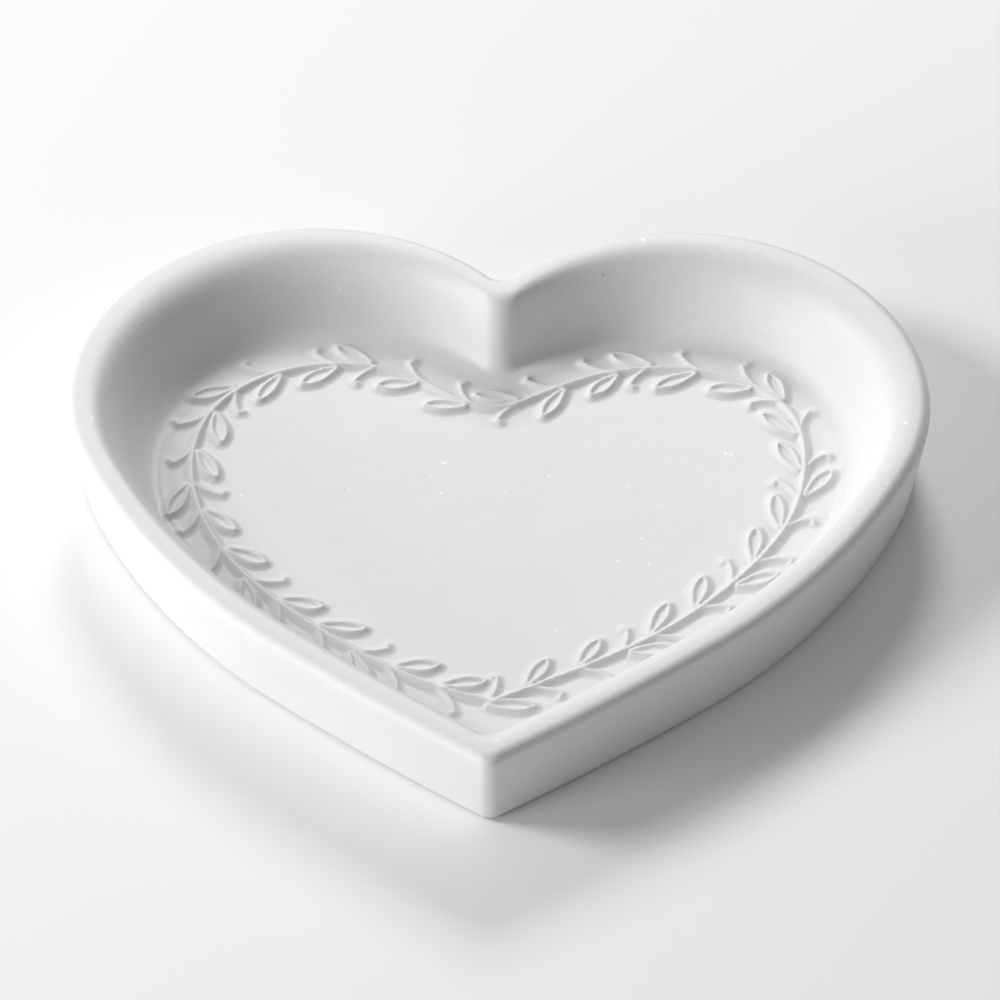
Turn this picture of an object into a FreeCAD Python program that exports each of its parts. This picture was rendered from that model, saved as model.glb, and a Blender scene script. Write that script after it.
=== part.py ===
"""Heart-shaped trinket dish: one cast dish with a leafy vine raised on its floor, on three stick-on pads.

Millimetres, +Z up.  The origin is on the table, under the middle of the dish's bounding box.
X runs across the two lobes, Y runs from the pointed tip (-) to the cleft between the lobes (+).
"""
import FreeCAD
import Part
import math
import os

# ---- outer size -------------------------------------------------------------------------------
HEIGHT = 15.4            # table to the top of the rim
STAND_OFF = 0.4          # the pads hold the dish this far off the table
DRAFT = 2.5              # the outer wall leans in by this much at the foot

# ---- plan outline at the rim, right half: flank, shoulder and lobe arcs, tangent in turn --------
FLANK_RADIUS = 407.0
FLANK_X, FLANK_Y = -224.9, 281.5
SHOULDER_RADIUS = 99.7
SHOULDER_X, SHOULDER_Y = -29.9, 43.96
LOBE_TOP = 57.3          # farthest point of a lobe along +Y
CLEFT_Y = 45.0           # where the two lobe arcs would cross
TIP_ROUND = 2.4
CLEFT_ROUND = 3.0

# ---- rim and well -------------------------------------------------------------------------------
RIM_WIDTH = 3.4          # from the outer edge to the edge of the well
RIM_ROUND = 1.6          # outer edge of the rim
SHOULDER_RUN = 0.55      # how far the wall's rounded shoulder and its hollow foot reach, as shares
FOOT_RUN = 0.50          # of the sweep
FLOOR_Z = 5.0            # height of the floor above the table
COVE_RUN = 7.1           # the well's wall sweeps in by this much on its way down
FLOOR_TOP = 42.5         # farthest point of the floor along +Y; the wall sweeps in more at the lobes
WELL_CLEFT_TOP = 40.0    # Y of the wall's ridge under the cleft, at the rim
WELL_CLEFT_FOOT = 32.9   # and at the floor
WELL_TIP_ROUND = 3.0
WELL_CLEFT_ROUND = 3.6
COVE_SECTIONS = 9

# ---- vine raised on the floor -------------------------------------------------------------------
VINE_INSET = 19.0        # the stem follows the outline this far inside it
VINE_TOP = 36.4
VINE_CLEFT = 22.6
VINE_CLEFT_ROUND = 6.0
VINE_TIP_ROUND = 1.5
STEM_WIDTH = 1.0
RELIEF = 0.7             # height of stem and leaves above the floor
RELIEF_ROOT = 0.3        # and how far they reach into it
LEAF_LENGTH, LEAF_WIDTH = 6.6, 2.8
BUD_LENGTH, BUD_WIDTH = 4.2, 1.3
LEAF_LEAN, BUD_LEAN = 32.0, 45.0     # degrees from the stem
STALK_GAP = 1.1          # leaf base to the middle of the stem
SPRAYS_PER_HALF = 6
RIGHT_START, RIGHT_PITCH = 5.0, 21.5     # along the stem, from the tip
LEFT_START, LEFT_PITCH = 136.9, 22.2

# each spray: how far on, which side (+1 faces the middle of the dish), leaf or bud
SPRAY = (
    (0.0, 1, "leaf"),
    (1.0, -1, "bud"),
    (8.6, 1, "leaf"),
    (9.6, -1, "bud"),
    (16.9, 1, "bud"),
    (16.2, -1, "leaf"),
)

# ---- stick-on pads ------------------------------------------------------------------------------
PAD_RADIUS = 7.0
PAD_THICKNESS = 1.2
PAD_ROUND = 0.3
PAD_CLEARANCE = 0.15     # gap round a pad in its recess
PADS = {
    "pad_left_lobe": (-31.0, 19.0),
    "pad_right_lobe": (31.0, 19.0),
    "pad_tip": (0.0, -34.0),
}

UP = FreeCAD.Vector(0, 0, 1)


def lobe_circle(inset, top_y, cleft_y):
    """Centre and radius of the lobe arc that touches the shoulder arc inside, reaches
    top_y, and would cross the middle plane at cleft_y."""
    shoulder = SHOULDER_RADIUS - inset

    def miss(radius):
        y = top_y - radius
        x = math.sqrt(max(radius ** 2 - (y - cleft_y) ** 2, 0.0))
        return math.hypot(x - SHOULDER_X, y - SHOULDER_Y) - (shoulder - radius), x, y

    low, high = 0.55 * (top_y - cleft_y), 60.0
    for _ in range(60):
        middle = (low + high) / 2
        if miss(middle)[0] > 0:
            high = middle
        else:
            low = middle
    _, x, y = miss(low)
    return x, y, low


def between(centre, radius, reach, other):
    """The point at reach from centre, on the line through other."""
    scale = reach / radius
    return (centre[0] + (other[0] - centre[0]) * scale, centre[1] + (other[1] - centre[1]) * scale)


def on_circle(centre, radius, heading):
    return (centre[0] + radius * math.cos(heading), centre[1] + radius * math.sin(heading))


def heading_of(centre, spot):
    return math.atan2(spot[1] - centre[1], spot[0] - centre[0])


def half_outline(inset, top_y, cleft_y, tip_round, cleft_round):
    """The right half as (start, middle, end) plan points of its arcs, tip to cleft."""
    flank, flank_r = (FLANK_X, FLANK_Y), FLANK_RADIUS - inset
    shoulder, shoulder_r = (SHOULDER_X, SHOULDER_Y), SHOULDER_RADIUS - inset
    lobe_x, lobe_y, lobe_r = lobe_circle(inset, top_y, cleft_y)
    lobe = (lobe_x, lobe_y)
    tip = (0.0, FLANK_Y - math.sqrt((flank_r - tip_round) ** 2 - FLANK_X ** 2))
    cleft = (0.0, lobe_y + math.sqrt((lobe_r + cleft_round) ** 2 - lobe_x ** 2))
    to_tip = between(flank, flank_r - tip_round, flank_r, tip)
    flank_gap = math.dist(flank, shoulder)
    to_shoulder = between(flank, flank_gap, flank_r, shoulder)
    to_lobe = between(shoulder, math.dist(shoulder, lobe), shoulder_r, lobe)
    to_cleft = between(lobe, lobe_r + cleft_round, lobe_r, cleft)

    def arc(centre, radius, start, end):
        first, last = heading_of(centre, start), heading_of(centre, end)
        if last < first:
            last += 2 * math.pi
        return (start, on_circle(centre, radius, (first + last) / 2), end)

    arcs = [
        arc(flank, flank_r, to_tip, to_shoulder),
        arc(shoulder, shoulder_r, to_shoulder, to_lobe),
        arc(lobe, lobe_r, to_lobe, to_cleft),
    ]
    return (0.0, tip[1] - tip_round), arcs, (0.0, cleft[1] - cleft_round)


def outline(z, inset, top_y=None, cleft_y=CLEFT_Y, tip_round=TIP_ROUND, cleft_round=CLEFT_ROUND):
    """One closed heart-shaped wire at height z, anticlockwise from the right of the tip."""
    if top_y is None:
        top_y = LOBE_TOP - inset
    tip_end, arcs, cleft_end = half_outline(inset, top_y, cleft_y, tip_round, cleft_round)

    def mirrored(spot):
        return (-spot[0], spot[1])

    first, last = arcs[0][0], arcs[-1][2]
    whole = list(arcs)
    whole.append((last, cleft_end, mirrored(last)))
    for start, middle, end in reversed(arcs):
        whole.append((mirrored(end), mirrored(middle), mirrored(start)))
    whole.append((mirrored(first), tip_end, first))
    edges = []
    for spots in whole:
        edges.append(Part.Arc(*[FreeCAD.Vector(x, y, z) for x, y in spots]).toShape())
    return Part.Wire(edges)


def make_blank():
    """The outside: a heart that tapers to its foot."""
    foot = outline(STAND_OFF, DRAFT, cleft_y=CLEFT_Y - 1.4 * DRAFT)
    rim = outline(HEIGHT, 0.0)
    return Part.makeLoft([foot, rim], True, True)


def make_well():
    """The hollow: from the edge of the rim a rounded shoulder, a steep wall and a hollow foot."""
    sections = []
    depth = HEIGHT - FLOOR_Z
    for step in range(COVE_SECTIONS):
        up = step / (COVE_SECTIONS - 1)
        down = 1 - up
        sweep = 3 * up ** 2 * down * SHOULDER_RUN + 3 * up * down ** 2 * (1 - FOOT_RUN) + down ** 3
        drop = 3 * up * down ** 2 + down ** 3
        inset = RIM_WIDTH + COVE_RUN * sweep
        top_y = LOBE_TOP - RIM_WIDTH + (FLOOR_TOP - LOBE_TOP + RIM_WIDTH) * sweep
        cleft_y = WELL_CLEFT_TOP + (WELL_CLEFT_FOOT - WELL_CLEFT_TOP) * sweep
        sections.append(outline(HEIGHT - depth * drop, inset, top_y=top_y, cleft_y=cleft_y,
                                tip_round=WELL_TIP_ROUND, cleft_round=WELL_CLEFT_ROUND))
    return Part.makeLoft(sections, True, False)


def round_rim(blank):
    """Round the outer edge of the rim."""
    rim = [edge for edge in blank.Edges if edge.BoundBox.ZMin > HEIGHT - 1e-4]
    return blank.makeFillet(RIM_ROUND, rim)


def stem_wire(inset):
    return outline(FLOOR_Z - RELIEF_ROOT, inset, top_y=VINE_TOP + VINE_INSET - inset, cleft_y=VINE_CLEFT,
                   tip_round=VINE_TIP_ROUND, cleft_round=VINE_CLEFT_ROUND)


def make_stem():
    outer = Part.Face(stem_wire(VINE_INSET - STEM_WIDTH / 2))
    inner = Part.Face(stem_wire(VINE_INSET + STEM_WIDTH / 2))
    return outer.cut(inner).extrude(UP * (RELIEF_ROOT + RELIEF))


def almond(length, width):
    """A pointed oval along +X from the origin, as a low solid."""
    base = FreeCAD.Vector(0, 0, 0)
    tip = FreeCAD.Vector(length, 0, 0)
    left = Part.Arc(base, FreeCAD.Vector(length / 2, width / 2, 0), tip).toShape()
    right = Part.Arc(tip, FreeCAD.Vector(length / 2, -width / 2, 0), base).toShape()
    return Part.Face(Part.Wire([left, right])).extrude(UP * (RELIEF_ROOT + RELIEF))


def station(wire, travel):
    """Point and direction on a closed wire, travel along it from its start."""
    travel %= wire.Length
    for edge in wire.OrderedEdges:
        if travel <= edge.Length:
            where = edge.getParameterByLength(travel)
            return edge.valueAt(where), edge.tangentAt(where)
        travel -= edge.Length
    raise ValueError("past the end of the wire")


def make_sprays():
    """Leaves and buds set along both halves of the stem."""
    path = stem_wire(VINE_INSET)
    size = {"leaf": (LEAF_LENGTH, LEAF_WIDTH, LEAF_LEAN), "bud": (BUD_LENGTH, BUD_WIDTH, BUD_LEAN)}
    shapes = []
    for start, pitch in ((RIGHT_START, RIGHT_PITCH), (LEFT_START, LEFT_PITCH)):
        for spray in range(SPRAYS_PER_HALF):
            for on, side, kind in SPRAY:
                length, width, lean = size[kind]
                spot, ahead = station(path, start + pitch * spray + on)
                heading = math.degrees(math.atan2(ahead.y, ahead.x))
                across = FreeCAD.Vector(-ahead.y, ahead.x, 0) * side
                piece = almond(length, width)
                piece.rotate(FreeCAD.Vector(0, 0, 0), UP, heading + side * lean)
                piece.translate(spot + across * STALK_GAP)
                shapes.append(piece)
    return shapes


def make_recess(x, y):
    radius = PAD_RADIUS + PAD_CLEARANCE
    depth = PAD_THICKNESS - STAND_OFF
    return Part.makeCylinder(radius, depth + 1.0, FreeCAD.Vector(x, y, STAND_OFF - 1.0), UP)


def make_dish():
    dish = round_rim(make_blank()).cut(make_well())
    for x, y in PADS.values():
        dish = dish.cut(make_recess(x, y))
    dish = dish.fuse([make_stem()] + make_sprays())
    return dish.removeSplitter()


def make_pad(x, y):
    disc = Part.makeCylinder(PAD_RADIUS, PAD_THICKNESS, FreeCAD.Vector(x, y, 0.0), UP)
    lower = [edge for edge in disc.Edges if edge.BoundBox.ZMax < 1e-4]
    return disc.makeFillet(PAD_ROUND, lower)


def main():
    os.makedirs("parts", exist_ok=True)
    pieces = {"dish_body": make_dish()}
    for name, (x, y) in PADS.items():
        pieces[name] = make_pad(x, y)
    for name, shape in pieces.items():
        print(name, "valid", shape.isValid(), "solids", len(shape.Solids), "volume %.1f" % shape.Volume)
        shape.exportStep("parts/%s.step" % name)


main()
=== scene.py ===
"""Heart-shaped trinket dish: a matt white cast dish with a leafy vine raised on its floor.

The plan is worked in millimetres and turned into metres where a mesh is made.  X runs across the
two lobes, Y from the pointed tip to the cleft between the lobes, Z up from the table.
"""
import bpy
import bmesh
import math
import random
import numpy as np
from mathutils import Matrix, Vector


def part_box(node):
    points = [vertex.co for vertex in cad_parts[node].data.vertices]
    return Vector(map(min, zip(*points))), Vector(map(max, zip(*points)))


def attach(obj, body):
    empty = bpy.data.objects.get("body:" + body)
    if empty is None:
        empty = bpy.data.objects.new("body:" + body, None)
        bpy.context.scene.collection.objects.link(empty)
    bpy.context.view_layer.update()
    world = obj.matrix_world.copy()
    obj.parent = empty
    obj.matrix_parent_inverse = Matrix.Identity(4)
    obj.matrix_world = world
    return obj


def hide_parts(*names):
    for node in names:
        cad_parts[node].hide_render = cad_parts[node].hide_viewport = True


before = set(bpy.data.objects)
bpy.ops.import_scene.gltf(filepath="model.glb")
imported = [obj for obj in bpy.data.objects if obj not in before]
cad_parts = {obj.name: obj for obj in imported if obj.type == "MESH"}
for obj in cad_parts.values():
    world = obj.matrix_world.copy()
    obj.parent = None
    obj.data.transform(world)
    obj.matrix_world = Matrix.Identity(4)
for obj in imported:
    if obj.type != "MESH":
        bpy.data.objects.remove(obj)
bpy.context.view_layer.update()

MM = 0.001
SEED = 7

# ---- outline: flank, shoulder and lobe arcs, tangent in turn (x, y, radius) ----------------------
FLANK = (-224.9, 281.5, 407.0)
SHOULDER = (-29.9, 43.96, 99.7)
LOBE_TOP = 57.3          # farthest point of a lobe along Y
CLEFT_Y = 45.0           # where the two lobe arcs would cross
CLEFT_FOLLOW = 1.4       # the outer cleft moves in this much for each millimetre of inset
TIP_ROUND = 2.4
CLEFT_ROUND = 3.0

# ---- section ------------------------------------------------------------------------------------
HEIGHT = 15.4            # table to the top of the rim
STAND_OFF = 0.4          # the pads hold the dish this far off the table
DRAFT = 2.5              # the outer wall leans in by this much at the foot
FOOT_ROUND = 0.5
RIM_WIDTH = 3.4          # from the outer edge to the edge of the well
RIM_OUTER_ROUND = 1.6
SHOULDER_RUN = 0.55      # how far the well's rounded shoulder and its hollow foot reach,
FOOT_RUN = 0.50          # as shares of the wall's sweep
FLOOR_Z = 5.0
FLOOR_INSET = 10.5       # from the dish's outer edge to the floor's
FLOOR_TOP = 42.5         # farthest point of the floor along Y
FLOOR_CLEFT = 32.9       # the cleft at the floor
WELL_CLEFT = 40.0        # and at the rim
WELL_TIP_ROUND = 3.0
WELL_CLEFT_ROUND = 3.6

# ---- vine: the stem's path on the floor, from the tip round the right lobe first ----------------
STEM_POINTS = (
    (0.3, -35.2), (14.1, -27.6), (26.2, -19.3), (36.6, -8.4), (43.7, 3.3), (46.1, 15.3),
    (44.0, 26.8), (36.6, 33.7), (24.5, 36.3), (13.7, 34.0), (5.0, 29.4), (0.0, 27.3),
    (-5.0, 28.4), (-13.8, 34.0), (-24.7, 36.3), (-34.7, 33.8), (-42.6, 26.8), (-45.9, 14.0),
    (-43.8, 2.8), (-37.6, -8.8), (-28.0, -18.8), (-17.2, -27.2), (-6.3, -33.2), (-0.3, -35.2),
)
PAD_LEVEL = 0.42         # leaves, stem and tendrils are low pads this high
LINE_LIFT = 0.28         # with a raised line along their edges
LINE_WIDTH, STEM_WIDTH = 0.34, 0.44
SLOPE_REACH = 1.35       # and soft slopes this wide round them
STEM_BOLDNESS = 1.2      # the stem stands a little higher than its leaves
HOLLOW = 0.10            # the middle of a leaf is dished,
HOLLOW_RUN = 0.5         # which takes this much from its edge
BLEND_POWER = 6.0        # how sharply one raised shape takes over from another

SPRAY = (                # along the stem, side (1 is inside the wreath), what grows there
    (0.0, 1, "leaf"), (1.0, -1, "tendril"), (8.6, 1, "leaf"), (9.6, -1, "tendril"),
    (16.9, 1, "tendril"), (16.2, -1, "leaf"),
)
SPRAY_RUNS = ((5.0, 21.5), (136.9, 22.2))    # each half's first spray, and the step to the next
SPRAYS_PER_HALF = 6
SPRAY_SHIFT = 0.5        # leaves and tendrils stray this much along the stem
SHAPE_REACH = 11.0       # nothing of a leaf or a tendril lies farther from its place on the stem
LOOK_AHEAD = 3.0         # they lean from the way the stem runs this much farther on

LEAF_LENGTH, LEAF_LENGTHS = 6.3, (0.94, 1.1)    # and the shares that single leaves have of it
LEAF_CREST, LEAF_CRESTS = 0.98, (0.92, 1.08)    # half a leaf's width
LEAF_LEAN = (26, 34)     # degrees
LEAF_OUT, LEAF_ON = 0.75, 0.9                   # a leaf starts this far out and on
LEAF_END_ROUND = 0.25
LEAF_FULLNESS = 1.3      # above 1 a leaf is fullest past its middle

TENDRIL_LENGTH, TENDRIL_LENGTHS = 4.6, (0.85, 1.1)
TENDRIL_LEAN = (20, 30)
TENDRIL_OUT = 0.2
TENDRIL_CURL, TENDRIL_BEND = 0.34, 2.2    # how far it curls aside, and how late
TENDRIL_HOOK = (-0.25, 0.55)              # from its end, back and aside
TENDRIL_FADE = 0.25                       # it loses this share of its height on the way

# ---- a faint mould seam where the left of the floor meets the wall ------------------------------
SEAM_LIFT, SEAM_WIDTH = 0.11, 0.45
SEAM_INSET = 0.5         # from the floor's edge
SEAM_SIDE = -44.0        # it lies left of this
SEAM_MIDDLE, SEAM_REACH = 13.0, 19.0    # along Y
SEAM_FADE = 8.0          # it fades out over this much at each end

# ---- pads under the base ------------------------------------------------------------------------
PAD_NAMES = ("pad_left_lobe", "pad_right_lobe", "pad_tip")
PAD_CLEARANCE = 0.15
RECESS_SIDES = 72

# ---- mesh fineness ------------------------------------------------------------------------------
STEM_FINENESS = 4001     # points on the stem's path
CLEFT_STRETCH = slice(1500, 2500)    # the stretch of them that crosses the middle at the cleft
STEM_COARSENESS = 6      # the stem's height is taken from every sixth of them
STATIONS_PER_HALF = 600  # round the vine
COARSE_STEP = 3          # the plain walls take every third station,
CORNER_STATIONS = 30     # but all of them near the tip and the cleft
LEAFY_REACH = 6.3        # leaves reach this far outside the stem,
LEAFY_SHARE = 0.85       # or this share of the way to the floor's edge where that is less,
INNER_REACH = 7.0        # and this far inside the stem
LEAFY_ROWS, CLEAR_ROWS, INNER_ROWS = 24, 4, 28
FAN_STATIONS = 50        # the rings inside it fan out over this many stations at a corner
COVE_ROWS, COVE_FOOT_ROWS = 15, 6
COVE_FOOT_START = 0.80   # below this the wall is fine enough for leaf tips to climb it
FOOT_STEPS, WALL_STEPS, RIM_STEPS = 3, 5, 6
LEVEL_REACH = 0.01       # edges this near the underside's level belong to it
MERGE_REACH = 1e-7       # metres
SMOOTH_ANGLE = 50

# ---- stage --------------------------------------------------------------------------------------
LAMPS = (                # name, azimuth, elevation, size across in metres, watts
    ("back_light", 180, 34, 0.36, 7.0),
    ("left_light", -93, 34, 0.42, 8.2),
    ("low_left_light", -62, 11, 0.5, 6.2),
)
LAMP_DISTANCE = 1.2      # metres
LAMP_TARGET = (0.0, 0.0, 0.008)
ROOM_LIGHT = 0.25
CAMERA_PLACE = (0.0160, -0.9232, 0.9020)
CAMERA_WAY = (-0.0120, 0.7200, -0.6939)
CAMERA_LENS = 311.3
TABLE_SIZE = 4.0


# ================================ plan curves =====================================================
def lobe_circle(inset, top_y, cleft_y):
    """The lobe arc that touches the shoulder arc inside, reaches top_y and would cross X = 0 at
    cleft_y.  Its radius is found by halving."""
    shoulder = SHOULDER[2] - inset
    low, high = 0.55 * (top_y - cleft_y), 60.0
    for _ in range(60):
        radius = (low + high) / 2
        y = top_y - radius
        x = math.sqrt(max(radius ** 2 - (y - cleft_y) ** 2, 0.0))
        if math.hypot(x - SHOULDER[0], y - SHOULDER[1]) > shoulder - radius:
            high = radius
        else:
            low = radius
    return x, y, radius


def arc_points(x, y, radius, start, end, count=160):
    turn = np.linspace(start, end, count)
    return np.stack([x + radius * np.cos(turn), y + radius * np.sin(turn)], axis=1)


def heart_half(inset, top_y=None, cleft_y=CLEFT_Y, tip_round=TIP_ROUND, cleft_round=CLEFT_ROUND):
    """Points of the right half of a heart, from the tip to the cleft."""
    if top_y is None:
        top_y = LOBE_TOP - inset
    flank_x, flank_y, flank_r = FLANK[0], FLANK[1], FLANK[2] - inset
    shoulder_x, shoulder_y, shoulder_r = SHOULDER[0], SHOULDER[1], SHOULDER[2] - inset
    lobe_x, lobe_y, lobe_r = lobe_circle(inset, top_y, cleft_y)
    tip_y = flank_y - math.sqrt((flank_r - tip_round) ** 2 - flank_x ** 2)
    cleft_centre = lobe_y + math.sqrt((lobe_r + cleft_round) ** 2 - lobe_x ** 2)
    at_tip = math.atan2(tip_y - flank_y, -flank_x)
    at_shoulder = math.atan2(shoulder_y - flank_y, shoulder_x - flank_x)
    at_lobe = math.atan2(lobe_y - shoulder_y, lobe_x - shoulder_x)
    at_cleft = math.atan2(cleft_centre - lobe_y, -lobe_x)
    runs = [
        arc_points(0.0, tip_y, tip_round, -math.pi / 2, at_tip),
        arc_points(flank_x, flank_y, flank_r, at_tip, at_shoulder),
        arc_points(shoulder_x, shoulder_y, shoulder_r, at_shoulder, at_lobe),
        arc_points(lobe_x, lobe_y, lobe_r, at_lobe, at_cleft),
        arc_points(0.0, cleft_centre, cleft_round, at_cleft - math.pi, -math.pi / 2),
    ]
    return np.concatenate([runs[0]] + [run[1:] for run in runs[1:]])


def smooth_path(points, count):
    """A natural cubic spline through the points."""
    spots = np.array(points, float)
    knots = np.concatenate([[0.0], np.cumsum(np.hypot(*np.diff(spots, axis=0).T))])
    gaps = np.diff(knots)
    size = len(spots)
    system = np.eye(size)
    target = np.zeros((size, 2))
    for i in range(1, size - 1):
        slope_after = (spots[i + 1] - spots[i]) / gaps[i]
        slope_before = (spots[i] - spots[i - 1]) / gaps[i - 1]
        system[i, i - 1:i + 2] = gaps[i - 1], 2 * (gaps[i - 1] + gaps[i]), gaps[i]
        target[i] = 6 * (slope_after - slope_before)
    bend = np.linalg.solve(system, target)
    travel = np.linspace(0.0, knots[-1], count)
    span = np.clip(np.searchsorted(knots, travel, side="right") - 1, 0, size - 2)
    gap = gaps[span][:, None]
    after = (travel - knots[span])[:, None]
    before = gap - after
    return (bend[span] * before ** 3 + bend[span + 1] * after ** 3) / (6 * gap) + (
        spots[span] / gap - bend[span] * gap / 6) * before + (
        spots[span + 1] / gap - bend[span + 1] * gap / 6) * after


def length_along(points):
    return np.concatenate([[0.0], np.cumsum(np.hypot(*np.diff(points, axis=0).T))])


def in_step(points, shares):
    """Points of one half, taken so that tip, widest point, lobe top and cleft fall on the same
    stations in every ring."""
    side = np.argmax(np.abs(points[:, 0]))
    top = np.argmax(points[:, 1])
    travel = length_along(points)
    marks = travel[[0, side, top, len(points) - 1]]
    wanted = [np.linspace(marks[k], marks[k + 1], shares[k], endpoint=False) for k in range(3)]
    wanted = np.concatenate(wanted + [marks[-1:]])
    return np.stack([np.interp(wanted, travel, points[:, axis]) for axis in (0, 1)], axis=1)


def whole_ring(right, left):
    """A closed ring from two halves that both run from tip to cleft, the left one mirrored back."""
    return np.concatenate([right, left[::-1][1:-1]])


def share_stations(points):
    """How many of a half's stations fall on each of its three stretches."""
    side = np.argmax(np.abs(points[:, 0]))
    top = np.argmax(points[:, 1])
    travel = length_along(points)
    first = round(STATIONS_PER_HALF * travel[side] / travel[-1])
    second = round(STATIONS_PER_HALF * (travel[top] - travel[side]) / travel[-1])
    return first, second, STATIONS_PER_HALF - first - second


stem_path = smooth_path(STEM_POINTS, STEM_FINENESS)
cleft_index = np.argmin(np.abs(stem_path[CLEFT_STRETCH, 0])) + CLEFT_STRETCH.start
stem_right = stem_path[:cleft_index + 1]
stem_left = stem_path[cleft_index:][::-1]
shares_right = share_stations(stem_right)


def heart_ring(inset, **shape):
    right = in_step(heart_half(inset, **shape), shares_right)
    return whole_ring(right, right * (-1, 1))


def stem_ring():
    right = in_step(stem_right, shares_right)
    left = in_step(stem_left, shares_right)
    right[0, 0] = left[0, 0] = 0.0
    return whole_ring(right, left)


# ================================ relief ==========================================================
def smoothstep(value):
    value = np.clip(value, 0.0, 1.0)
    return value * value * (3 - 2 * value)


def moulded(distance, width=LINE_WIDTH):
    """Height of a moulded shape: a low pad inside distance 0 that slopes away softly outside, with
    a thin raised line along its edge."""
    pad = PAD_LEVEL * (1 - smoothstep(distance / SLOPE_REACH))
    dished = HOLLOW * smoothstep(-distance / HOLLOW_RUN)
    line = LINE_LIFT * np.exp(-(distance / width) ** 2)
    return pad - dished + line


def stem_station(travel):
    """Point and direction on the stem."""
    along = length_along(stem_path)
    travel = travel % along[-1]

    def spot_at(place):
        return np.array([np.interp(place, along, stem_path[:, axis]) for axis in (0, 1)])

    heading = spot_at(travel + 0.5) - spot_at(travel - 0.5)
    return spot_at(travel), heading / np.linalg.norm(heading)


def local(points, base, heading, side):
    """Plan points in a leaf's own frame: along it, and across it away from the stem."""
    offset = points - base
    along = offset @ heading
    across = (offset @ np.array([-heading[1], heading[0]])) * side
    return along, across


def leaf_height(points, base, heading, side, length, crest):
    """An almond leaf, fuller towards its tip, with rounded ends."""
    along, across = local(points, base, heading, side)
    span = length - 2 * LEAF_END_ROUND
    half = crest - LEAF_END_ROUND
    radius = (span ** 2 / 4 + half ** 2) / (2 * half)
    start = along - LEAF_END_ROUND
    skewed = span * np.clip(start / span, 0.0, 1.0) ** LEAF_FULLNESS
    inside = np.hypot(skewed - span / 2, np.abs(across) + radius - half) - radius
    beyond = np.hypot(np.maximum(np.maximum(-start, start - span), 0.0), across)
    distance = np.where((start < 0) | (start > span), beyond, inside) - LEAF_END_ROUND
    return moulded(distance)


def distance_to_step(along, across, first, last):
    """Distance from each point to the straight step between two places."""
    step_x, step_y = last[0] - first[0], last[1] - first[1]
    share = (along - first[0]) * step_x + (across - first[1]) * step_y
    share = np.clip(share / (step_x ** 2 + step_y ** 2), 0.0, 1.0)
    return np.hypot(along - first[0] - share * step_x, across - first[1] - share * step_y)


def tendril_height(points, base, heading, side, length):
    """A thin twig that curls away from the stem, fades as it goes and ends in a small hook."""
    along, across = local(points, base, heading, side)
    curl = [(length * part, length * TENDRIL_CURL * part ** TENDRIL_BEND)
            for part in np.linspace(0, 1, 7)]
    curl.append((curl[-1][0] + TENDRIL_HOOK[0], curl[-1][1] + TENDRIL_HOOK[1]))
    steps = zip(curl[:-1], curl[1:])
    nearest = np.min([distance_to_step(along, across, first, last) for first, last in steps], axis=0)
    return moulded(nearest) * (1 - TENDRIL_FADE * np.clip(along / length, 0.0, 1.0))


def distance_to_path(points, path, block=4000):
    """Distance from each point to the nearest point of a path."""
    nearest = np.empty(len(points))
    for start in range(0, len(points), block):
        offset = points[start:start + block, None] - path[None]
        nearest[start:start + block] = np.hypot(offset[..., 0], offset[..., 1]).min(axis=1)
    return nearest


def seam_height(points):
    """The mould seam, which fades out at both ends."""
    edge = heart_half(FLOOR_INSET + SEAM_INSET, top_y=FLOOR_TOP, cleft_y=FLOOR_CLEFT) * (-1, 1)
    reach = smoothstep((SEAM_REACH - np.abs(points[:, 1] - SEAM_MIDDLE)) / SEAM_FADE)
    return SEAM_LIFT * reach * np.exp(-(distance_to_path(points, edge) / SEAM_WIDTH) ** 2)


def turned(heading, degrees):
    turn = math.radians(degrees)
    return np.array([heading[0] * math.cos(turn) - heading[1] * math.sin(turn),
                     heading[0] * math.sin(turn) + heading[1] * math.cos(turn)])


def grow_leaf(points, travel, side, dice):
    """Height of the leaf that leaves the stem here."""
    spot, ahead = stem_station(travel)
    outward = np.array([-ahead[1], ahead[0]]) * side
    length = LEAF_LENGTH * dice.uniform(*LEAF_LENGTHS)
    heading = turned(stem_station(travel + LOOK_AHEAD)[1], side * dice.uniform(*LEAF_LEAN))
    crest = LEAF_CREST * dice.uniform(*LEAF_CRESTS)
    base = spot + outward * LEAF_OUT + ahead * LEAF_ON
    return leaf_height(points, base, heading, side, length, crest)


def grow_tendril(points, travel, side, dice):
    """Height of the tendril that leaves the stem here."""
    spot, ahead = stem_station(travel)
    outward = np.array([-ahead[1], ahead[0]]) * side
    length = TENDRIL_LENGTH * dice.uniform(*TENDRIL_LENGTHS)
    heading = turned(stem_station(travel + LOOK_AHEAD)[1], side * dice.uniform(*TENDRIL_LEAN))
    return tendril_height(points, spot + outward * TENDRIL_OUT, heading, side, length)


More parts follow.
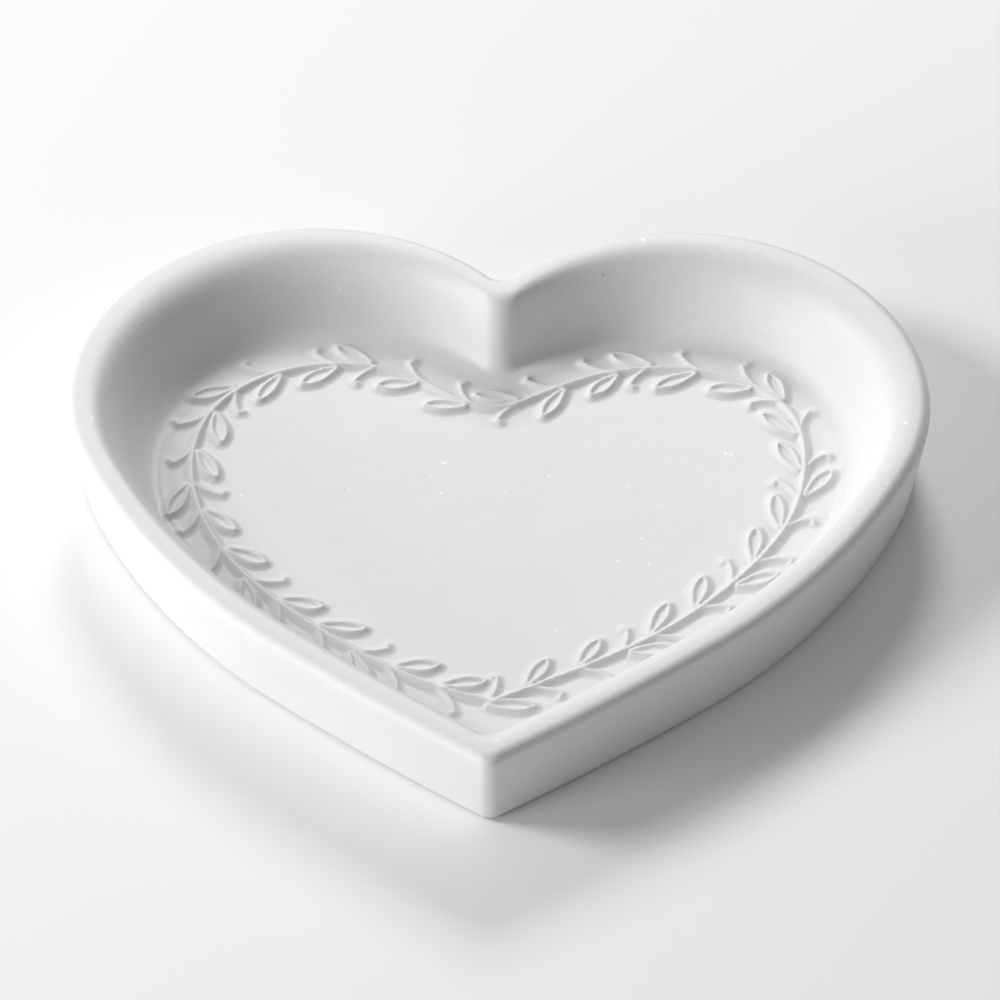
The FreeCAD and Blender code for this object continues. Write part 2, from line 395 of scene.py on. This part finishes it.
def vine_height(points):
    """Height of the whole vine and the seam above the floor, at plan points."""
    dice = random.Random(SEED)
    nearest = distance_to_path(points, stem_path[::STEM_COARSENESS])
    total = moulded(nearest, STEM_WIDTH) * STEM_BOLDNESS

    def add(height, near):
        both = total[near] ** BLEND_POWER + height ** BLEND_POWER
        total[near] = both ** (1 / BLEND_POWER)

    near = (points[:, 0] < SEAM_SIDE) & (np.abs(points[:, 1] - SEAM_MIDDLE) < SEAM_REACH)
    add(seam_height(points[near]), near)
    for start, pitch in SPRAY_RUNS:
        for turn in range(SPRAYS_PER_HALF):
            for on, side, kind in SPRAY:
                travel = start + pitch * turn + on + dice.uniform(-SPRAY_SHIFT, SPRAY_SHIFT)
                spot = stem_station(travel)[0]
                near = np.hypot(*(points - spot).T) < SHAPE_REACH
                grow = grow_leaf if kind == "leaf" else grow_tendril
                add(grow(points[near], travel, side, dice), near)
    return total


# ================================ the dish ========================================================
def quarter(steps):
    return np.linspace(0.0, math.pi / 2, steps + 1)


def outer_rings():
    """From the flat underside round the foot, up the drafted wall and over the rim."""
    slope = DRAFT / (HEIGHT - STAND_OFF)
    low, high = STAND_OFF + FOOT_ROUND, HEIGHT - RIM_OUTER_ROUND

    def wall_inset(z):
        return DRAFT - slope * (z - STAND_OFF)

    section = []
    for turn in quarter(FOOT_STEPS):
        z = STAND_OFF + FOOT_ROUND * (1 - math.cos(turn))
        section.append((wall_inset(z) + FOOT_ROUND * (1 - math.sin(turn)), z))
    for z in np.linspace(low, high, WALL_STEPS + 1)[1:-1]:
        section.append((wall_inset(z), z))
    for turn in quarter(RIM_STEPS):
        z = high + RIM_OUTER_ROUND * math.sin(turn)
        section.append((wall_inset(high) + RIM_OUTER_ROUND * (1 - math.cos(turn)), z))
    return [(heart_ring(inset, cleft_y=CLEFT_Y - CLEFT_FOLLOW * inset), z) for inset, z in section]


def well_ring(down):
    """The well's wall: 0 at the rim, 1 at the floor; a rounded shoulder, a steep wall and a hollow
    foot."""
    up = 1 - down
    sweep = 3 * up ** 2 * down * SHOULDER_RUN + 3 * up * down ** 2 * (1 - FOOT_RUN) + down ** 3
    drop = 3 * up * down ** 2 + down ** 3
    inset = RIM_WIDTH + (FLOOR_INSET - RIM_WIDTH) * sweep
    top = LOBE_TOP - RIM_WIDTH + (FLOOR_TOP - LOBE_TOP + RIM_WIDTH) * sweep
    cleft = WELL_CLEFT + (FLOOR_CLEFT - WELL_CLEFT) * sweep
    ring = heart_ring(inset, top_y=top, cleft_y=cleft, tip_round=WELL_TIP_ROUND,
                      cleft_round=WELL_CLEFT_ROUND)
    return ring, HEIGHT - (HEIGHT - FLOOR_Z) * drop


def inward(ring):
    """The way into the middle of the floor from each station, evened out along the ring so that
    rings set in from it don't cross at the corners."""
    ahead = np.roll(ring, -1, axis=0) - np.roll(ring, 1, axis=0)
    ahead /= np.linalg.norm(ahead, axis=1)[:, None]
    normal = np.stack([-ahead[:, 1], ahead[:, 0]], axis=1)
    window = np.hanning(2 * FAN_STATIONS + 1)
    window /= window.sum()
    round_again = np.concatenate([normal[-FAN_STATIONS:], normal, normal[:FAN_STATIONS]])
    return np.stack([np.convolve(round_again[:, axis], window, "valid") for axis in (0, 1)], axis=1)


def floor_rings():
    """Fine rings: the foot of the cove, the leafy band, and in as far as the plain middle."""
    rings = [well_ring(down) for down in np.linspace(COVE_FOOT_START, 1.0, COVE_FOOT_ROWS + 1)[1:]]
    edge, stem = rings[-1][0], stem_ring()
    gap = np.linalg.norm(edge - stem, axis=1)[:, None]
    leafy = stem + (edge - stem) * np.minimum(LEAFY_REACH / gap, LEAFY_SHARE)
    for part in np.linspace(0, 1, CLEAR_ROWS + 1)[1:]:
        rings.append((edge + (leafy - edge) * part, FLOOR_Z))
    for part in np.linspace(0, 1, LEAFY_ROWS + 1)[1:]:
        rings.append((leafy + (stem - leafy) * part, FLOOR_Z))
    into = inward(stem)
    for part in np.linspace(0, 1, INNER_ROWS + 1)[1:]:
        rings.append((stem + into * INNER_REACH * part, FLOOR_Z))
    return rings


def coarse_stations():
    """The stations that the plain walls take."""
    taken = []
    for k in range(2 * STATIONS_PER_HALF):
        to_corner = min(k % STATIONS_PER_HALF, -k % STATIONS_PER_HALF)
        if k % COARSE_STEP == 0 or to_corner < CORNER_STATIONS:
            taken.append(k)
    return taken


def wall_rings():
    """Coarse rings: the outside, over the rim and down the well's wall to the foot of the cove."""
    well = [well_ring(down) for down in np.linspace(0.0, COVE_FOOT_START, COVE_ROWS)]
    taken = coarse_stations()
    return [(ring[taken], z) for ring, z in outer_rings() + well]


def deselect_all():
    for item in bpy.context.selected_objects:
        item.select_set(False)


def select_underside_edges():
    """Select the open or loose edges that lie at the level of the underside."""
    mesh = bmesh.from_edit_mesh(bpy.context.object.data)
    for edge in mesh.edges:
        level = all(abs(corner.co.z / MM - STAND_OFF) < LEVEL_REACH for corner in edge.verts)
        edge.select_set(level and len(edge.link_faces) < 2)
    bmesh.update_edit_mesh(bpy.context.object.data)


def close_underside():
    """Fill the flat underside round three shallow round recesses for the pads."""
    for name in PAD_NAMES:
        low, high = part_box(name)
        bpy.ops.mesh.primitive_circle_add(
            vertices=RECESS_SIDES, radius=(high.x - low.x) / 2 + PAD_CLEARANCE * MM,
            location=((low.x + high.x) / 2, (low.y + high.y) / 2, STAND_OFF * MM))
    bpy.ops.mesh.select_all(action="DESELECT")
    bpy.ops.mesh.select_mode(type="EDGE")
    select_underside_edges()
    bpy.ops.mesh.fill(use_beauty=True)
    bpy.ops.mesh.select_all(action="DESELECT")
    select_underside_edges()
    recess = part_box(PAD_NAMES[0])[1].z - STAND_OFF * MM
    bpy.ops.mesh.extrude_region_move(TRANSFORM_OT_translate={"value": (0, 0, recess)})


def wrap_grid(name, rings, height_at=None):
    """A grid wrapped into a ring-shaped sheet, its two ends still apart.  A relief leaves the last
    two rings flat."""
    around = len(rings[0][0])
    deselect_all()
    bpy.ops.mesh.primitive_grid_add(x_subdivisions=around, y_subdivisions=len(rings) - 1, size=1.0)
    sheet = bpy.context.object
    sheet.name = name
    plan = np.concatenate([np.concatenate([ring, ring[:1]]) for ring, _ in rings])
    height = np.concatenate([np.full(around + 1, z) for _, z in rings])
    if height_at is not None:
        raised = slice(0, -2 * (around + 1))
        height[raised] += height_at(plan[raised])
    places = np.concatenate([plan, height[:, None]], axis=1) * MM
    sheet.data.vertices.foreach_set("co", places.reshape(-1))
    sheet.data.update()
    return sheet


def stitch(dish, wall_rows, taken):
    """Join the last ring of the walls to the first of the floor with one row of faces."""
    around = 2 * STATIONS_PER_HALF
    wall_start = (wall_rows - 1) * (len(taken) + 1)
    floor_start = wall_rows * (len(taken) + 1)
    stops = taken + [around]
    mesh = bmesh.new()
    mesh.from_mesh(dish.data)
    mesh.verts.ensure_lookup_table()
    for k in range(len(taken)):
        fine = range(stops[k + 1], stops[k] - 1, -1)
        corners = [wall_start + k, wall_start + k + 1] + [floor_start + i for i in fine]
        mesh.faces.new([mesh.verts[i] for i in corners])
    mesh.to_mesh(dish.data)
    mesh.free()


def make_dish():
    """One closed skin: two grids wrapped round the heart, stitched together and filled."""
    walls = wall_rings()
    dish = wrap_grid("heart_dish", walls)
    floor = wrap_grid("leafy_floor", floor_rings(), vine_height)
    floor.select_set(True)
    dish.select_set(True)
    bpy.context.view_layer.objects.active = dish
    bpy.ops.object.join()
    stitch(dish, len(walls), coarse_stations())
    bpy.ops.object.mode_set(mode="EDIT")
    bpy.ops.mesh.select_all(action="SELECT")
    bpy.ops.mesh.remove_doubles(threshold=MERGE_REACH)
    close_underside()
    bpy.ops.mesh.select_all(action="SELECT")
    bpy.ops.mesh.fill_holes(sides=0)
    bpy.ops.mesh.select_all(action="SELECT")
    bpy.ops.mesh.normals_make_consistent(inside=False)
    bpy.ops.object.mode_set(mode="OBJECT")
    bpy.ops.object.shade_smooth_by_angle(angle=math.radians(SMOOTH_ANGLE))
    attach(dish, "root")
    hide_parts("dish_body")
    return dish


# ================================ materials =======================================================
class Value:
    """A shader socket that adds its Math nodes when it is used in an expression."""

    def __init__(self, maker, socket):
        self.maker = maker
        self.socket = socket

    def _math(self, operation, left, right):
        node = self.maker.tree.nodes.new("ShaderNodeMath")
        node.operation = operation
        for place, item in enumerate((left, right)):
            if isinstance(item, Value):
                self.maker.tree.links.new(item.socket, node.inputs[place])
            else:
                node.inputs[place].default_value = item
        return Value(self.maker, node.outputs[0])

    def __add__(self, other):
        return self._math("ADD", self, other)

    def __radd__(self, other):
        return self._math("ADD", other, self)

    def __sub__(self, other):
        return self._math("SUBTRACT", self, other)

    def __rsub__(self, other):
        return self._math("SUBTRACT", other, self)

    def __mul__(self, other):
        return self._math("MULTIPLY", self, other)

    def __rmul__(self, other):
        return self._math("MULTIPLY", other, self)


class Maker:
    """Builds one material."""

    def __init__(self, name):
        self.material = bpy.data.materials.new(name)
        self.material.use_nodes = True
        self.tree = self.material.node_tree
        self.shader = self.tree.nodes["Principled BSDF"]
        self.place = self.node("ShaderNodeTexCoord").outputs["Object"]

    def node(self, kind, settings=None, **sockets):
        made = self.tree.nodes.new(kind)
        for key, value in (settings or {}).items():
            setattr(made, key, value)
        for key, value in sockets.items():
            socket = made.inputs[key.replace("_", " ")]
            self.feed(socket, value)
        return made

    def feed(self, socket, value):
        if isinstance(value, Value):
            value = value.socket
        if isinstance(value, bpy.types.NodeSocket):
            self.tree.links.new(value, socket)
        else:
            socket.default_value = value

    def noise(self, scale, detail=2.0, roughness=0.5):
        made = self.node("ShaderNodeTexNoise", None, Vector=self.place, Scale=scale, Detail=detail,
                         Roughness=roughness)
        return Value(self, made.outputs["Fac"])

    def fade(self, value, low, high):
        """0 below low, 1 above high, smooth between."""
        made = self.node("ShaderNodeMapRange", {"interpolation_type": "SMOOTHSTEP"}, Value=value)
        made.inputs["From Min"].default_value = low
        made.inputs["From Max"].default_value = high
        return Value(self, made.outputs["Result"])

    def spots(self, scale, size, softness):
        """1 in scattered round spots."""
        made = self.node("ShaderNodeTexVoronoi", None, Vector=self.place, Scale=scale)
        return 1 - self.fade(Value(self, made.outputs["Distance"]), size, size + softness)

    def mix(self, factor, first, second):
        """A colour between two.  The node's colour sockets share their names with others, so they are
        taken by number."""
        made = self.node("ShaderNodeMix", {"data_type": "RGBA"})
        self.feed(made.inputs["Factor"], factor)
        self.feed(made.inputs[6], first)
        self.feed(made.inputs[7], second)
        return made.outputs[2]

    def bump(self, height, strength, distance, normal=None):
        made = self.node("ShaderNodeBump", None, Height=height)
        made.inputs["Strength"].default_value = strength
        made.inputs["Distance"].default_value = distance
        if normal is not None:
            self.feed(made.inputs["Normal"], normal)
        return made.outputs["Normal"]


def white_ceramic():
    """Matt to satin white, faintly cloudy, with pinholes darkened by painted shade and small pale
    flecks that are painted glints on slightly shinier spots.
    """
    make = Maker("white_ceramic")
    body = (0.77, 0.77, 0.765, 1.0)
    shade = (0.735, 0.735, 0.73, 1.0)
    pale = (0.92, 0.92, 0.915, 1.0)
    dark = (0.36, 0.35, 0.34, 1.0)
    grain = make.noise(2600.0, 2.0, 0.6)
    mottle = make.noise(900.0, 3.0, 0.6)
    cloud = make.noise(55.0, 3.0, 0.55)
    lumps = make.noise(180.0, 3.0, 0.5)
    # pinholes: small dents in the bump, whose dark colour is painted shade inside them
    shaded_pinholes = make.spots(140.0, 0.02, 0.025) * make.fade(make.noise(47.0), 0.53, 0.57)
    # pale flecks: painted glints in the colour, on spots that are also a little shinier
    glint_flecks = make.spots(290.0, 0.04, 0.05) * make.fade(make.noise(61.0), 0.5, 0.55)
    shading = make.fade(cloud, 0.3, 0.75) * 0.4 + make.fade(mottle, 0.3, 0.7) * 0.35
    colour = make.mix(shading, body, shade)
    # painted glints: the flecks are paled in the colour
    colour = make.mix(glint_flecks * 0.6, colour, pale)
    # painted shade: the pinholes are darkened in the colour
    colour = make.mix(shaded_pinholes * 0.5, colour, dark)
    make.feed(make.shader.inputs["Base Color"], colour)
    make.feed(make.shader.inputs["Roughness"], 0.40 + grain * 0.16 - glint_flecks * 0.2)
    make.shader.inputs["Specular IOR Level"].default_value = 0.4
    uneven = make.bump(lumps, 0.5, 0.00012)
    make.feed(make.shader.inputs["Normal"], make.bump(grain - shaded_pinholes, 0.3, 0.00005, uneven))
    return make.material


def grey_felt():
    make = Maker("grey_felt")
    dark = (0.52, 0.5, 0.47, 1.0)
    light = (0.66, 0.64, 0.61, 1.0)
    fibre = make.noise(3800.0, 4.0, 0.7)
    colour = make.mix(make.fade(fibre, 0.3, 0.7), dark, light)
    make.feed(make.shader.inputs["Base Color"], colour)
    make.feed(make.shader.inputs["Roughness"], 0.85 + fibre * 0.1)
    make.feed(make.shader.inputs["Normal"], make.bump(fibre, 0.7, 0.0003))
    return make.material


def pale_floor():
    make = Maker("pale_floor")
    make.shader.inputs["Base Color"].default_value = (0.93, 0.93, 0.93, 1.0)
    make.shader.inputs["Roughness"].default_value = 0.8
    make.shader.inputs["Specular IOR Level"].default_value = 0.2
    return make.material


# ================================ stage ===========================================================
def make_floor():
    deselect_all()
    bpy.ops.mesh.primitive_plane_add(size=TABLE_SIZE, location=(0, 0, 0))
    floor = bpy.context.object
    floor.name = "floor"
    floor.data.materials.append(pale_floor())


def place_item(name, data, place, way):
    """Add a lamp or a camera that looks along a way."""
    item = bpy.data.objects.new(name, data)
    bpy.context.scene.collection.objects.link(item)
    item.location = place
    item.rotation_mode = "QUATERNION"
    item.rotation_quaternion = way.to_track_quat("-Z", "Y")
    return item


def around(azimuth, elevation, distance):
    """A place round the dish: azimuth 0 is in front of the tip, 90 to the right."""
    turn, rise = math.radians(azimuth), math.radians(elevation)
    level = distance * math.cos(rise)
    return Vector((level * math.sin(turn), -level * math.cos(turn), distance * math.sin(rise)))


def make_lights():
    for name, azimuth, elevation, size, power in LAMPS:
        lamp = bpy.data.lights.new(name, "AREA")
        lamp.shape = "DISK"
        lamp.size = size
        lamp.energy = power
        place = around(azimuth, elevation, LAMP_DISTANCE)
        place_item(name, lamp, place, Vector(LAMP_TARGET) - place)
    world = bpy.data.worlds.new("room")
    bpy.context.scene.world = world
    world.use_nodes = True
    background = world.node_tree.nodes["Background"]
    background.inputs["Color"].default_value = (1.0, 1.0, 1.0, 1.0)
    background.inputs["Strength"].default_value = ROOM_LIGHT


def make_camera():
    camera = bpy.data.cameras.new("camera")
    camera.lens = CAMERA_LENS
    camera.sensor_width = 36.0
    camera.clip_start = 0.05
    camera.clip_end = 20.0
    bpy.context.scene.camera = place_item("camera", camera, CAMERA_PLACE, Vector(CAMERA_WAY))


# ================================ all of it =======================================================
def main():
    bpy.context.scene.view_settings.view_transform = "Standard"
    dish = make_dish()
    dish.data.materials.clear()
    dish.data.materials.append(white_ceramic())
    felt = grey_felt()
    for name in PAD_NAMES:
        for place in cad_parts[name].material_slots:
            place.material = felt
    make_floor()
    make_lights()
    make_camera()


main()
